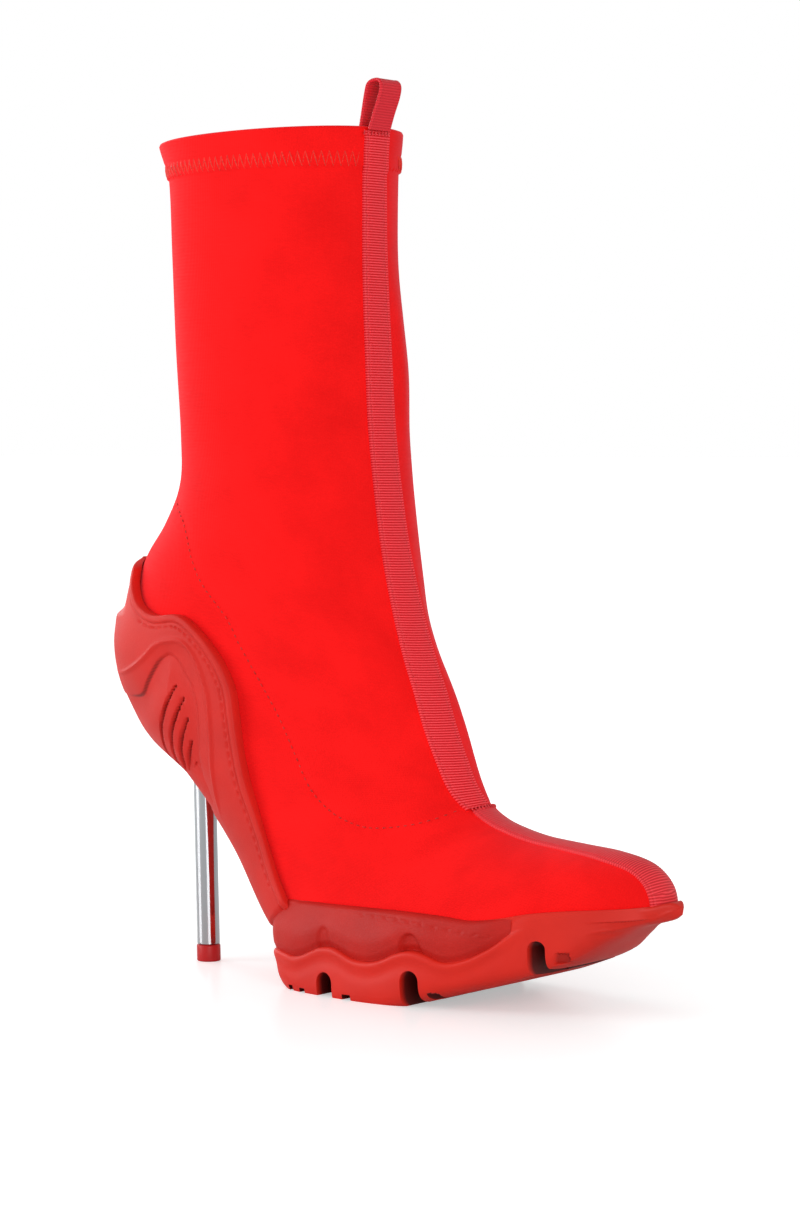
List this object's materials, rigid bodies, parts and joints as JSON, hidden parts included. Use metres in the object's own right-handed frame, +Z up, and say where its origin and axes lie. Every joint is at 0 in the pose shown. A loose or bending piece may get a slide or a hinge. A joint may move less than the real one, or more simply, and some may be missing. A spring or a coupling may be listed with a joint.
{
  "type": "stretch ankle boot",
  "caption": "Pointed pull-on ankle boot: stretch knit sock upper with ribbed front tape and pull loop, moulded rubber heel cup, thick treaded forefoot sole and a slim metal pin heel.",
  "frame": {"origin": "on the floor plane under the ball of the foot, on the boot's centre plane", "axes": "+X to the toe, +Y to the inner side of the foot, +Z up from the floor to the collar"},
  "size_m": [0.2368, 0.0752, 0.3119],
  "materials": {
    "stretch_knit": "smooth bonded stretch knit, soft and matt",
    "ribbed_tape": "ribbed woven tape, satin",
    "vamp_tape": "ribbed woven tape, satin",
    "loop_tape": "ribbed woven tape, satin",
    "cup_rubber": "moulded, matt",
    "rail_rubber": "moulded, matt",
    "tread_rubber": "moulded, smooth",
    "polished_metal": "polished",
    "lift_plastic": "satin",
    "insole_cloth": "matt"
  },
  "bodies": {
    "root": {"upper": "stretch_knit", "shaft_tape": "ribbed_tape", "vamp_tape": "vamp_tape", "pull_loop": "loop_tape", "heel_cup": "cup_rubber", "midsole": "rail_rubber", "outsole": "tread_rubber", "heel_pin": "polished_metal", "top_lift": "lift_plastic", "insole": "insole_cloth"}
  },
  "joints": []
}
